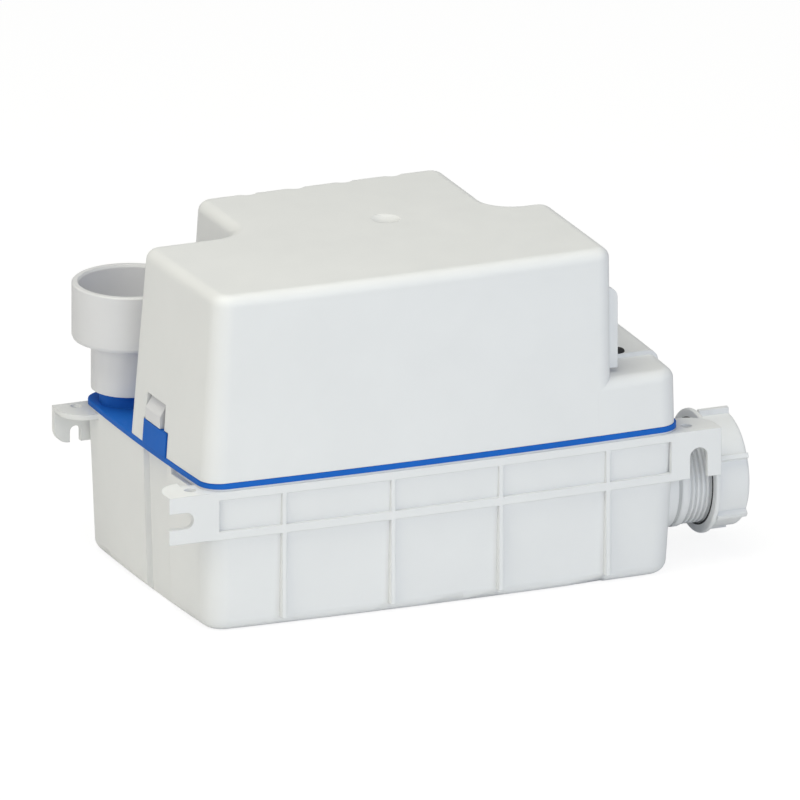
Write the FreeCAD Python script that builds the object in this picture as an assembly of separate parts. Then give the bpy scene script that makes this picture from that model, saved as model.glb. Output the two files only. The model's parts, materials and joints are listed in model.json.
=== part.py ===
import FreeCAD, Part
import math
import os

# Condensate pump: a plastic tank with a cover plate that carries the pump motor,
# the float switches, the inlet and the non-return valve, under a lift-off hood.
# Millimetres. X runs along the front, Y to the back, Z up. The origin is the middle
# of the tank's underside.

V = FreeCAD.Vector
UP = V(0, 0, 1)
RIGHT = V(1, 0, 0)
BACK = V(0, 1, 0)

# Tank
rim_length = 229.0
rim_width = 144.6
front_bow = 2.6
side_bow = 1.8
corner_radius = 11.0
tank_height = 68.0
tank_right_lean = 3.2
tank_back_lean = 2.5
tank_left_lean = 1.8
tank_front_lean = 2.5
tank_wall = 2.5
tank_floor = 2.8
tank_bottom_round = 6.0
lip_overhang = 0.4
rim_band = 8.0
rim_band_height = 6.0
gasket_width = 3.0
gasket_thickness = 2.0
ledge_width = 4.2

# Rib frame on the front of the tank
frame_stand_out = 0.8
frame_top_drop = 1.0
frame_rail = 3.8
frame_pocket = 14.7
frame_mid_rail = 3.8
frame_end_inset = 3.6
rib_thickness = 2.0
rib_pitch = 52.0
rib_clear_of_base = 5.0

# Notch for a screwdriver under the cover plate
pry_inset = 14.3
pry_length = 25.0
pry_depth = 3.4
pry_height = 3.3

# Ears
ear_stand_out = 18.5
ear_plate = 2.6
ear_height = 22.0
ear_flange = 2.4
ear_flange_depth = 20.0
ear_corner = 13.6
ear_hole_radius = 2.6
ear_hole_out = 5.0
front_hole_inset = 7.8
rear_hole_inset = 5.8
ear_slot_width = 7.6
ear_slot_drop = 12.3
ear_slot_depth = 8.0
hook_slot_width = 8.4
hook_slot_out = 7.7
hook_slot_top = 9.0
rear_ear_stand_out = 14.5
rear_ear_height = 17.5
rear_slot_width = 5.3
rear_slot_out = 4.3
rear_slot_top = 10.0
rear_ear_corner = 12.0
rear_ear_setback = 0.6
rear_ear_foot_round = 7.0

# Side connection with its compression nut
spigot_y = -38.0
spigot_z = 36.3
spigot_radius = 22.9
spigot_bore = 20.2
boss_radius = 23.6
boss_stand_out = 3.0
boss_root = 14.0
socket_depth = 30.0
collar_depth = 4.0
spigot_seal_thickness = 1.5
spigot_length = 22.3
spigot_tail = 9.0
tail_step = 0.9
tail_fit = 0.1
nut_stand_off = 12.1
nut_flange_radius = 28.0
nut_flange_thickness = 2.4
nut_body_radius = 25.9
nut_length = 17.4
nut_end_wall = 2.6
nut_mouth = 20.2
nut_grips = 6
nut_grip_height = 2.6
nut_grip_width = 3.2
nut_grip_turn = 27.0
thread_clearance = 0.35
washer_thickness = 1.2
cone_seal_length = 3.0

# Cover plate
plate_thickness = 2.6
plate_skirt = 4.0
plate_skirt_wall = 2.2
plate_skirt_gap = 0.4
inlet_inset_x = 16.5
inlet_inset_y = 16.3
inlet_spigot_radius = 13.8
inlet_spigot_bore = 11.6
inlet_spigot_height = 25.4
inlet_throat_radius = 6.0
inlet_throat_shift = 6.0
inlet_throat_depth = 4.0
bridge_width = 25.0
bridge_centre = 15.0
bridge_height = 11.0
bridge_thickness = 1.9
bridge_stand_out = 0.5

# Snap latches
latch_width = 16.4
latch_shift = 2.6
latch_foot_depth = 5.0
latch_foot_inset = 1.2
latch_room = 0.9
latch_slot_room = 1.7
latch_jog = 5.0
latch_thickness = 2.4
latch_gap = 0.4
latch_catch_gap = 0.3
latch_stand_out = 0.4
latch_nose_flat = 5.4
latch_head = 11.0
groove_width = 26.0
groove_depth = 2.7
groove_backing = 2.6

# Hood
hood_gap = 0.1
hood_inset = 0.2
hood_right_inset = 1.2
hood_height = 86.0
hood_wall = 2.2
hood_left_lean = 3.9
hood_lean = 1.0
hood_corner = 9.5
hood_edge_round = 5.2
tower_right_inset = 33.0
tower_back_inset = 67.8
tower_corner = 7.0
tower_setback = 0.05
neck_left_inset = 46.5
left_back_inset = 55.8
hood_back_lean = 2.4
neck_right_inset = 58.5
neck_back_inset = 4.3
neck_fillet = 14.0
neck_left_fillet = 14.0
shoulder_height = 25.4
shoulder_round = 5.0
shoulder_step = 2.0
shoulder_step_inset = 26.3
fin_inset = 10.3
fin_thickness = 2.4
fin_reach = 5.6
fin_drop = 20.7
fin_clear = 2.0
groove_count = 4
hose_groove_width = 10.0
hose_groove_depth = 6.0
hose_groove_pitch = 23.2
hose_groove_middle = -3.0
dimple_x = 4.8
dimple_y = 7.4
dimple_radius = 6.6
dimple_depth = 1.3
window_over_latch = 1.4
window_side_gap = 0.8
window_shift = 1.3
window_width = 20.7
tail_hole_gap = 1.5
gland_inset_x = 19.6
gland_inset_y = 30.6
gland_radius = 4.2
gland_neck_radius = 3.2
gland_dome = 1.0
gland_fit = 0.1

# Inlet sleeve
sleeve_clear = 6.2
sleeve_height = 49.3
sleeve_neck_height = 22.9
socket_radius = 26.0
socket_wall = 3.2
sleeve_neck_radius = 17.4
sleeve_step = 3.2
sleeve_fit = 0.3
ring_section = 1.2
ring_rise = 7.2

# Pump and motor
motor_x = -8.0
motor_inset_y = 38.3
shaft_radius = 3.0
shaft_fit = 0.05
shaft_under_impeller = 1.5
shaft_over_fan = 5.0
column_radius = 15.0
column_wall = 3.0
column_bottom = 34.0
column_flange = 22.0
column_flange_thickness = 3.0
volute_radius = 26.0
volute_bottom = 10.0
volute_wall = 3.0
impeller_radius = 19.0
impeller_bottom = 15.5
impeller_height = 8.0
impeller_blades = 6
impeller_hub = 6.0
impeller_shroud = 1.8
blade_root = 5.0
blade_sweep = 38.0
blade_thickness = 1.5
cover_thickness = 2.6
eye_radius = 8.5
strainer_ribs = 10
strainer_height = 3.4
cover_ring_height = 2.0
outlet_radius = 6.0
outlet_bore = 4.4
outlet_offset = 18.5
outlet_z = 19.5
outlet_end = 22.0
outlet_wall = 1.6
outlet_socket = 12.0
outlet_socket_depth = 8.0
pipe_bend = 14.0
pipe_run = 36.0
stack_rise = 19.4
stack_height = 20.0
stack_half = 29.0
stack_leg = 11.0
stack_tail = 54.0
rotor_radius = 15.0
end_ring_step = 1.5
end_ring_height = 1.6
air_gap = 0.4
coil_window = 20.0
coil_leg = 18.0
coil_build = 13.0
coil_flange = 1.5
bobbin_wall = 1.4
screw_spread = 23.5
screw_radius = 2.0
screw_fit = 0.3
screw_reach = 15.0
screw_head_radius = 3.6
screw_head_height = 2.8
screw_key_radius = 1.3
bracket_pad = 6.0
seat_drop = 4.0
upper_bar_rise = 4.0
upper_seat_rise = 6.0
upper_pad = 7.0
bracket_thickness = 3.0
bracket_width = 15.0
cup_radius = 10.5
bearing_radius = 8.0
bearing_width = 5.0
post_radius = 5.0
fan_rise = 18.0
fan_height = 8.0
fan_radius = 28.0
fan_blades = 7
fan_hub = 7.5
fan_pitch = 32.0
fan_blade_thickness = 1.4

# Floats and switches
float_inset_x = 56.5
float_inset_y = 24.3
float_radius = 14.0
float_height = 20.0
float_bottom = 12.0
float_spacing = 34.0
alarm_bottom = 30.0
alarm_travel = 8.0
stem_radius = 2.0
stem_fit = 0.3
stem_over_plate = 12.4
stem_collar = 3.0
lever_arm = 32.0
lever_width = 8.0
lever_thickness = 2.4
lever_horn = 12.0
plunger_drop = 3.0
lever_turn = 22.0
pivot_rise = 14.0
pin_radius = 1.5
pin_fit = 0.05
cheek_thickness = 2.0
cheek_gap = 0.4
switch_body_x = 10.2
switch_body_y = 19.8
switch_body_z = 6.4
plunger_radius = 1.4
plunger_length = 1.2
terminal_pitch = 7.0
touch_gap = 0.4
bracket_half = 8.0
bracket_post = 2.5
bracket_foot = 10.0
gusset_height = 18.0
block_pitch = 9.0
block_depth = 16.0
block_height = 12.0
block_from_gland_x = 12.0
block_from_gland_y = 8.0
block_screw_radius = 2.2
block_wire_radius = 1.8
block_wire_rise = 5.0

# Non-return valve and hose barb
valve_inset_x = 22.5
valve_inset_y = 87.3
valve_radius = 12.0
valve_bore = 8.6
seat_rise = 9.4
valve_height = 32.4
ball_radius = 6.0
ball_travel = 6.0
port_radius = 9.0
port_wall = 2.2
port_rise = 3.0
barb_radius = 5.4
barb_bore = 3.6
barb_height = 26.0
barb_count = 3
hexagon_radius = 9.5
hexagon_height = 5.0

# Worked out from the sizes above
plate_top = tank_height + plate_thickness
hood_base = plate_top + hood_gap
hood_top = hood_base + hood_height
shoulder_top = hood_base + shoulder_height
rear_shoulder_top = shoulder_top + shoulder_step
reach_x = rim_length / 2 + side_bow
reach_y = rim_width / 2 + front_bow
front_bow_radius = ((rim_length / 2) ** 2 + front_bow ** 2) / (2 * front_bow)
side_bow_radius = ((rim_width / 2) ** 2 + side_bow ** 2) / (2 * side_bow)
column_bore = column_radius - column_wall
half_length = rim_length / 2
half_width = rim_width / 2
motor_y = motor_inset_y - half_width
float_x = float_inset_x - half_length
float_y = float_inset_y - half_width
alarm_y = float_y + float_spacing
valve_y = valve_inset_y - half_width
bridge_top = plate_top + bridge_height
latch_top = bridge_top + latch_head
window_top = latch_top + window_over_latch
fin_top = hood_top - fin_drop
fin_y = fin_inset - half_width
tower_right = half_length - tower_right_inset
tower_back = half_width - tower_back_inset
neck_right = half_length - neck_right_inset
neck_left = neck_left_inset - half_length
neck_back = half_width - neck_back_inset
left_back = half_width - left_back_inset
shoulder_step_y = shoulder_step_inset - half_width
gland_x = half_length - gland_inset_x
gland_y = gland_inset_y - half_width
inlet_x = inlet_inset_x - half_length
inlet_y = half_width - inlet_inset_y
inlet_spigot_top = plate_top + inlet_spigot_height
sleeve_bottom = plate_top + sleeve_clear
sleeve_top = sleeve_bottom + sleeve_height
socket_floor = sleeve_bottom + sleeve_neck_height
ring_z = sleeve_bottom + ring_rise
stack_bottom = plate_top + stack_rise
stack_top = stack_bottom + stack_height
fan_bottom = stack_top + fan_rise
shaft_bottom = impeller_bottom - shaft_under_impeller
shaft_top = fan_bottom + fan_height + shaft_over_fan
stem_top = plate_top + stem_over_plate
pivot_z = plate_top + pivot_rise
valve_x = half_length - valve_inset_x
valve_seat_z = plate_top + seat_rise
valve_body_top = plate_top + valve_height
barb_top = valve_body_top + barb_height
frame_end = half_length - frame_end_inset
ear_reach = half_length + ear_stand_out
rear_ear_reach = half_length + rear_ear_stand_out
ear_hole_x = half_length + ear_hole_out
hook_slot_x = half_length + hook_slot_out
rear_slot_x = half_length + rear_slot_out
front_hole_y = half_width - front_hole_inset
rear_hole_y = half_width - rear_hole_inset
boss_face = half_length + boss_stand_out
collar_face = boss_face + collar_depth
spigot_end = collar_face + spigot_length
nut_back = collar_face + nut_stand_off


def slope(degrees):
    """Sideways gain of a leaning wall for each millimetre of height."""
    return math.tan(math.radians(degrees))


def box(x0, x1, y0, y1, z0, z1):
    return Part.makeBox(x1 - x0, y1 - y0, z1 - z0, V(x0, y0, z0))


def rod(radius, x, y, z0, z1):
    return Part.makeCylinder(radius, z1 - z0, V(x, y, z0))


def tube(outer, inner, x, y, z0, z1):
    return rod(outer, x, y, z0, z1).cut(rod(inner, x, y, z0, z1))


def rod_x(radius, x0, x1, y, z):
    return Part.makeCylinder(radius, x1 - x0, V(x0, y, z), RIGHT)


def rod_y(radius, x, y0, y1, z):
    return Part.makeCylinder(radius, y1 - y0, V(x, y0, z), BACK)


def prism(points, direction):
    """Solid swept along direction from a flat polygon."""
    loop = [V(*point) for point in points]
    wire = Part.makePolygon(loop + [loop[0]])
    return Part.Face(wire).extrude(direction)


def join(shapes):
    solid = shapes[0]
    for shape in shapes[1:]:
        solid = solid.fuse(shape)
    return solid.removeSplitter()


def spin(profile, x, y):
    """Turned part: profile points are (radius, z), turned about the upright line x, y."""
    points = [V(x + radius, y, z) for radius, z in profile]
    face = Part.Face(Part.makePolygon(points + [points[0]]))
    return face.revolve(V(x, y, 0), UP, 360)


def level_edges(shape, z):
    """Edges that lie wholly at one height."""
    found = []
    for edge in shape.Edges:
        heights = [edge.valueAt(edge.ParameterRange[0]).z, edge.valueAt(edge.ParameterRange[1]).z]
        heights.append(edge.valueAt(sum(edge.ParameterRange) / 2).z)
        if max(abs(height - z) for height in heights) < 0.01:
            found.append(edge)
    return found


def upright_edges(shape, z0, z1):
    """Edges that run from one height to the other."""
    found = []
    for edge in shape.Edges:
        ends = sorted(vertex.Z for vertex in edge.Vertexes)
        if len(ends) == 2 and abs(ends[0] - z0) < 0.01 and abs(ends[1] - z1) < 0.01:
            found.append(edge)
    return found


def bowed_wall(angle, reach, reach_z, lean, bow_radius, z0, z1):
    """Everything behind one bowed, leaning wall: a very large cone."""
    direction = V(math.cos(math.radians(angle)), math.sin(math.radians(angle)), 0)
    centre = direction * (reach - bow_radius)
    low = bow_radius + lean * (z0 - reach_z)
    high = bow_radius + lean * (z1 - reach_z)
    base = V(centre.x, centre.y, z0)
    if abs(low - high) < 1e-6:
        return Part.makeCylinder(low, z1 - z0, base)
    return Part.makeCone(low, high, z1 - z0, base)


def bowed_block(z0, z1, reach_z, inset, leans, right_inset=0.0):
    """Block with four bowed walls; leans are for right, back, left and front."""
    walls = [
        bowed_wall(0, reach_x - inset - right_inset, reach_z, leans[0], side_bow_radius - inset, z0, z1),
        bowed_wall(90, reach_y - inset, reach_z, leans[1], front_bow_radius - inset, z0, z1),
        bowed_wall(180, reach_x - inset, reach_z, leans[2], side_bow_radius - inset, z0, z1),
        bowed_wall(270, reach_y - inset, reach_z, leans[3], front_bow_radius - inset, z0, z1),
    ]
    block = walls[0]
    for wall in walls[1:]:
        block = block.common(wall)
    return block


def rounded_block(z0, z1, reach_z, inset, leans, radius):
    block = bowed_block(z0, z1, reach_z, inset, leans)
    return block.makeFillet(radius, upright_edges(block, z0, z1))


# Tank

tank_leans = [slope(tank_right_lean), slope(tank_back_lean), slope(tank_left_lean),
              slope(tank_front_lean)]


def tank_block(z0, z1, inset):
    radius = max(corner_radius - inset, 2.0)
    return rounded_block(z0, z1, tank_height, lip_overhang + inset, tank_leans, radius)


def tank_shell():
    outer = tank_block(0, tank_height, 0)
    outer = outer.makeFillet(tank_bottom_round, level_edges(outer, 0))
    band_bottom = tank_height - rim_band_height
    pit = tank_block(tank_floor, band_bottom, tank_wall)
    pit = pit.makeFillet(tank_bottom_round - tank_wall, level_edges(pit, tank_floor))
    mouth = tank_block(band_bottom - 1, tank_height + 1, rim_band + ledge_width)
    recess = tank_block(tank_height - gasket_thickness, tank_height + 1, rim_band)
    return outer, join([pit, mouth, recess])


def leaning_side(side, depth, y_centre, half, z0, z1):
    """Space outside a plane that follows the tank's side wall at a depth."""
    lean = slope(tank_right_lean if side > 0 else tank_left_lean)
    face = reach_x - lip_overhang - depth
    far = reach_x + 5
    profile = [(face - lean * (tank_height - z0), z0), (far, z0), (far, z1),
               (face - lean * (tank_height - z1), z1)]
    points = [(side * x, y_centre - half, z) for x, z in profile]
    return prism(points, V(0, 2 * half, 0))


def wall_behind_groove(side):
    """Inner thickening where the latch groove dents the wall."""
    half = groove_width / 2 + groove_backing
    return leaning_side(side, groove_depth + groove_backing, side * bridge_centre, half,
                        0, tank_height - rim_band_height)


def latch_foot_x():
    """Distances of the latch foot's two faces from the middle of the pump."""
    inner = reach_x - lip_overhang - rim_band + latch_foot_inset
    return inner, inner + latch_thickness


def latch_centre(side):
    return side * (bridge_centre - latch_shift)


def latch_pocket(side):
    """Blind pocket in the rim that holds the latch's foot."""
    inner, outer = latch_foot_x()
    low, high = sorted([side * (inner - latch_room), side * (outer + 0.1)])
    y = latch_centre(side)
    half = latch_width / 2 + 0.1
    return box(low, high, y - half, y + half, tank_height - latch_foot_depth, tank_height + 1)


def latch_groove(side):
    """Upright groove in the tank's outside under the bridge."""
    return leaning_side(side, groove_depth, side * bridge_centre, groove_width / 2,
                        -1, tank_height + 1)


def front_y(x, z):
    """Front face of the tank wall at a place."""
    bow = front_bow_radius - math.sqrt(front_bow_radius ** 2 - x ** 2)
    return -(reach_y - lip_overhang - bow) + slope(tank_front_lean) * (tank_height - z)


def frame_slab(z0, z1, x0, x1):
    """Slab between the tank wall and the outer plane of the rib frame."""
    shell = bowed_wall(270, reach_y - lip_overhang + frame_stand_out, tank_height, 0,
                       front_bow_radius + frame_stand_out, z0, z1)
    inner = bowed_wall(270, reach_y - lip_overhang - tank_wall / 2, tank_height,
                       slope(tank_front_lean), front_bow_radius - tank_wall / 2, z0, z1)
    region = box(x0, x1, -rim_width, -rim_width / 4, z0, z1)
    return shell.common(region).cut(inner)


def rib_frame():
    top = tank_height - frame_top_drop
    pocket_top = top - frame_rail
    pocket_bottom = pocket_top - frame_pocket
    mid_bottom = pocket_bottom - frame_mid_rail
    pieces = [
        frame_slab(pocket_top, top, -frame_end, frame_end),
        frame_slab(mid_bottom, pocket_bottom, -frame_end, frame_end),
    ]
    for place in range(4):
        x = (place - 1.5) * rib_pitch
        pieces.append(frame_slab(rib_clear_of_base, top, x - rib_thickness / 2,
                                 x + rib_thickness / 2))
    for side in (-1, 1):
        low, high = sorted([side * (frame_end - rib_thickness), side * (frame_end + 4)])
        pieces.append(frame_slab(mid_bottom, top, low, high))
    return pieces


def ear_front_face():
    return front_y(frame_end, tank_height) - frame_stand_out


def front_ear_blank(side):
    """Upright plate and level flange of a front ear, before its slot."""
    top = tank_height - frame_top_drop
    face = ear_front_face()
    low, high = sorted([side * (frame_end - 1), side * ear_reach])
    plate = box(low, high, face, face + ear_plate, top - ear_height, top)
    root = side * (half_length - corner_radius)
    radius = ear_flange_depth
    low, high = sorted([root, side * ear_reach])
    flange = box(low, high, face, face + radius, top - ear_flange, top)
    outer_corner = [edge for edge in upright_edges(flange, top - ear_flange, top)
                    if abs(edge.Vertexes[0].X - side * ear_reach) < 0.1
                    and edge.Vertexes[0].Y > face + 1]
    flange = flange.makeFillet(ear_corner, outer_corner)
    return plate.fuse(flange)


def front_ear(side):
    face = ear_front_face()
    top = tank_height - frame_top_drop
    ear = front_ear_blank(side)
    if side < 0:
        mid = tank_height - ear_slot_drop
        half = ear_slot_width / 2
        slot = box(-ear_reach - 1, -ear_reach + ear_slot_depth, face - 1, face + ear_plate + 1,
                   mid - half, mid + half)
        slot = slot.fuse(rod_y(half, -ear_reach + ear_slot_depth, face - 1,
                               face + ear_plate + 1, mid))
    else:
        half = hook_slot_width / 2
        mid = tank_height - hook_slot_top - half
        slot = box(hook_slot_x - half, hook_slot_x + half, face - 1, face + ear_plate + 1,
                   top - ear_height - 1, mid)
        slot = slot.fuse(rod_y(half, hook_slot_x, face - 1, face + ear_plate + 1, mid))
    hole = rod(ear_hole_radius, side * ear_hole_x, -front_hole_y, top - ear_height, top + 1)
    return ear.cut(slot).cut(hole)


def rear_ear(side):
    """Ear on the back corner: upright plate with a slot, under a round flange."""
    top = tank_height - frame_top_drop
    face = half_width - rear_ear_setback
    low, high = sorted([side * (half_length - corner_radius), side * rear_ear_reach])
    plate = box(low, high, face - ear_plate, face, top - rear_ear_height, top)
    corner = [edge for edge in plate.Edges
              if abs(edge.CenterOfMass.x - side * rear_ear_reach) < 0.1
              and abs(edge.CenterOfMass.z - top + rear_ear_height) < 0.1
              and abs(edge.CenterOfMass.y - face + ear_plate / 2) < 0.1]
    plate = plate.makeFillet(rear_ear_foot_round, corner)
    flange = box(low, high, face - ear_flange_depth, face, top - ear_flange, top)
    outer = [edge for edge in upright_edges(flange, top - ear_flange, top)
             if abs(edge.Vertexes[0].X - side * rear_ear_reach) < 0.1
             and edge.Vertexes[0].Y < face - 1]
    flange = flange.makeFillet(rear_ear_corner, outer)
    half = rear_slot_width / 2
    mid = top - rear_slot_top - half
    slot = box(side * rear_slot_x - half, side * rear_slot_x + half, face - ear_plate - 1,
               face + 1, top - rear_ear_height - 1, mid)
    slot = slot.fuse(rod_y(half, side * rear_slot_x, face - ear_plate - 1, face + 1, mid))
    hole = rod(ear_hole_radius, side * ear_hole_x, rear_hole_y, top - ear_flange - 1, top + 1)
    return plate.fuse(flange).cut(slot).cut(hole)


def pry_notch():
    """Slot under the cover plate for a screwdriver, on the left wall."""
    y0 = pry_inset - half_width
    return box(-reach_x - 5, -reach_x + pry_depth, y0, y0 + pry_length,
               tank_height - pry_height, tank_height + 1)


def tank():
    outer, inner = tank_shell()
    pads = [wall_behind_groove(side).common(outer) for side in (-1, 1)]
    cavity = inner.cut(pads[0]).cut(pads[1])
    boss = rod_x(boss_radius, reach_x - boss_root, boss_face, spigot_y, spigot_z)
    solid = outer.fuse(boss)
    for piece in rib_frame():
        solid = solid.fuse(piece)
    for ear in [front_ear(-1), front_ear(1), rear_ear(-1), rear_ear(1)]:
        solid = solid.fuse(ear.cut(outer))
    solid = solid.cut(cavity)
    for side in (-1, 1):
        solid = solid.cut(latch_groove(side)).cut(latch_pocket(side))
    solid = solid.cut(pry_notch())
    socket = spigot_radius - tail_step + tail_fit
    solid = solid.cut(rod_x(socket, reach_x - socket_depth, boss_face + 1, spigot_y, spigot_z))
    return solid.removeSplitter()


# Side connection

def side_spigot():
    """Threaded waste spigot; its tail sits in the bore of the tank's boss."""
    seal_face = boss_face + spigot_seal_thickness
    body = rod_x(spigot_radius, seal_face, spigot_end, spigot_y, spigot_z)
    collar = rod_x(boss_radius, seal_face, collar_face + spigot_seal_thickness, spigot_y,
                   spigot_z)
    collar = collar.makeFillet(0.8, [edge for edge in collar.Edges if edge.Length > 50])
    tail = rod_x(spigot_radius - tail_step, boss_face - spigot_tail, seal_face + 1, spigot_y,
                 spigot_z)
    bore = rod_x(spigot_bore, boss_face - spigot_tail - 1, spigot_end + 1, spigot_y, spigot_z)
    mouth = Part.makeCone(spigot_bore, spigot_bore + 1.6, 3.0,
                          V(spigot_end - 3.0, spigot_y, spigot_z), RIGHT)
    return join([body, collar, tail]).cut(bore).cut(mouth)


def ring_x(outer, inner, x0, x1):
    return rod_x(outer, x0, x1, spigot_y, spigot_z).cut(rod_x(inner, x0 - 1, x1 + 1,
                                                             spigot_y, spigot_z))


def spigot_seal():
    return ring_x(boss_radius - 0.3, spigot_radius - tail_step + 0.05, boss_face,
                  boss_face + spigot_seal_thickness)


def nut_inner_end():
    return nut_back + nut_length - nut_end_wall


def grip_rib(turn):
    """One grip rib on the nut, tapering towards the outer end."""
    x0 = nut_back + nut_flange_thickness - 0.2
    x1 = nut_back + nut_length - 1.0
    root = nut_body_radius - 1.0
    half = nut_grip_width / 2
    tip = nut_body_radius + nut_grip_height
    rib = prism([(x0, -half, root), (x0, -half * 0.7, tip), (x0, half * 0.7, tip),
                 (x0, half, root)], V(x1 - x0, 0, 0))
    rib = rib.translated(V(0, spigot_y, spigot_z))
    return rib.rotate(V(0, spigot_y, spigot_z), RIGHT, turn)


def compression_nut():
    flange = rod_x(nut_flange_radius, nut_back, nut_back + nut_flange_thickness,
                   spigot_y, spigot_z)
    flange = flange.makeFillet(0.9, [edge for edge in flange.Edges if edge.Length > 50])
    body = rod_x(nut_body_radius, nut_back, nut_back + nut_length, spigot_y, spigot_z)
    far = [edge for edge in body.Edges
           if edge.Length > 50 and edge.CenterOfMass.x > nut_back + nut_length - 0.1]
    body = body.makeFillet(2.0, far)
    solid = flange.fuse(body)
    for place in range(nut_grips):
        solid = solid.fuse(grip_rib(90 - nut_grip_turn + place * 360.0 / nut_grips))
    thread = rod_x(spigot_radius + thread_clearance, nut_back - 1, nut_inner_end(),
                   spigot_y, spigot_z)
    mouth = rod_x(nut_mouth, nut_back, nut_back + nut_length + 1, spigot_y, spigot_z)
    return solid.cut(thread).cut(mouth).removeSplitter()


def slip_washer():
    x1 = nut_inner_end() - 0.05
    return ring_x(spigot_radius - 0.6, nut_mouth + 0.2, x1 - washer_thickness, x1)


def cone_seal():
    """Rubber ring of wedge section that the washer presses into the spigot's mouth."""
    x1 = nut_inner_end() - 0.05 - washer_thickness
    x0 = max(spigot_end + 0.1, x1 - cone_seal_length)
    outer = spigot_radius - 1.2
    ring = Part.makeCone(outer - 0.8, outer, x1 - x0, V(x0, spigot_y, spigot_z), RIGHT)
    return ring.cut(rod_x(nut_mouth + 0.2, x0 - 1, x1 + 1, spigot_y, spigot_z))


# Cover plate and gasket

plate_leans = [0.0] * 4


def gasket():
    inner = rim_band + gasket_width
    z0 = tank_height - gasket_thickness
    ring = tank_block(z0, tank_height, rim_band + 0.2)
    return ring.cut(tank_block(z0 - 1, tank_height + 1, inner))


def bridge(side):
    """Strap of the cover plate that the latch hooks over."""
    lean = hood_left_lean if side < 0 else hood_lean
    angle = 180 if side < 0 else 0
    y = side * bridge_centre
    skin = reach_x - hood_inset + bridge_stand_out
    z0, z1 = plate_top - 0.5, bridge_top
    outer = bowed_wall(angle, skin, hood_base, -slope(lean), side_bow_radius, z0, z1)
    inner = bowed_wall(angle, skin - bridge_thickness, hood_base, -slope(lean),
                       side_bow_radius, z0, z1)
    low, high = sorted([side * (reach_x - 20), side * (reach_x + 5)])
    region = box(low, high, y - bridge_width / 2, y + bridge_width / 2, z0, z1)
    return outer.common(region).cut(inner)


def latch_slot(side):
    """Hole in the cover plate for the latch, with room for it to flex inwards."""
    inner, outer = latch_foot_x()
    low, high = sorted([side * (inner - latch_slot_room), side * (outer + 0.5)])
    y = latch_centre(side)
    half = latch_width / 2 + 0.5
    return box(low, high, y - half, y + half, tank_height - 1, plate_top + 1)


def motor_posts():
    posts = []
    for side in (-1, 1):
        y = motor_y + side * screw_spread
        height = stack_bottom - bracket_pad - plate_top + 0.5
        post = Part.makeCone(post_radius + 1.2, post_radius, height, V(motor_x, y, plate_top - 0.5))
        posts.append(post)
    return posts


def inlet_bore():
    """Bore of the inlet, narrowing towards the middle so that it clears the tank's rim."""
    shoulder_z = plate_top + inlet_throat_depth
    straight = rod(inlet_spigot_bore, inlet_x, inlet_y, shoulder_z, inlet_spigot_top + 1)
    wide = Part.Circle(V(inlet_x, inlet_y, shoulder_z), UP, inlet_spigot_bore)
    narrow = Part.Circle(V(inlet_x + inlet_throat_shift, inlet_y - inlet_throat_shift,
                           tank_height - 0.5), UP, inlet_throat_radius)
    wires = [Part.Wire(circle.toShape()) for circle in (wide, narrow)]
    return straight.fuse(Part.makeLoft(wires, True, True))


def cover_plate():
    plate = rounded_block(tank_height, plate_top, tank_height, 0, plate_leans, corner_radius)
    plate = plate.makeFillet(0.6, level_edges(plate, plate_top))
    skirt_inset = rim_band + ledge_width + plate_skirt_gap
    skirt_out = tank_block(tank_height - plate_skirt, tank_height, skirt_inset)
    skirt_in = tank_block(tank_height - plate_skirt - 1, tank_height + 1,
                          skirt_inset + plate_skirt_wall)
    parts = [plate, skirt_out.cut(skirt_in)]
    parts += [bridge(side) for side in (-1, 1)]
    parts += motor_posts()
    parts.append(rod(column_radius, motor_x, motor_y, column_bottom, plate_top + 1.5))
    parts.append(rod(column_flange, motor_x, motor_y, column_bottom,
                     column_bottom + column_flange_thickness))
    parts.append(rod(inlet_spigot_radius, inlet_x, inlet_y, tank_height + 0.5, inlet_spigot_top))
    parts.append(rod(port_radius + port_wall, valve_x, valve_y, tank_height - 8,
                     plate_top + port_rise))
    for y in (float_y, alarm_y):
        parts.append(rod(stem_radius + 2.6, float_x, y, tank_height - 6, plate_top))
    solid = join(parts)
    holes = [rod(column_bore, motor_x, motor_y, column_bottom - 1, tank_height - 2),
             rod(bearing_radius + 1.0, motor_x, motor_y, tank_height - 3, plate_top + 2),
             inlet_bore(),
             rod(outlet_bore, valve_x, valve_y, tank_height - 9, plate_top + 4),
             rod(outlet_radius + 0.05, valve_x, valve_y, tank_height - 9, tank_height - 1)]
    for y in (float_y, alarm_y):
        holes.append(rod(stem_radius + stem_fit, float_x, y, tank_height - 7, plate_top + 1))
    for side in (-1, 1):
        y = motor_y + side * screw_spread
        holes.append(rod(screw_radius, motor_x, y, stack_bottom - screw_reach - 1, stack_bottom))
        holes.append(latch_slot(side))
    for hole in holes:
        solid = solid.cut(hole)
    return solid.removeSplitter()


# Latches

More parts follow.
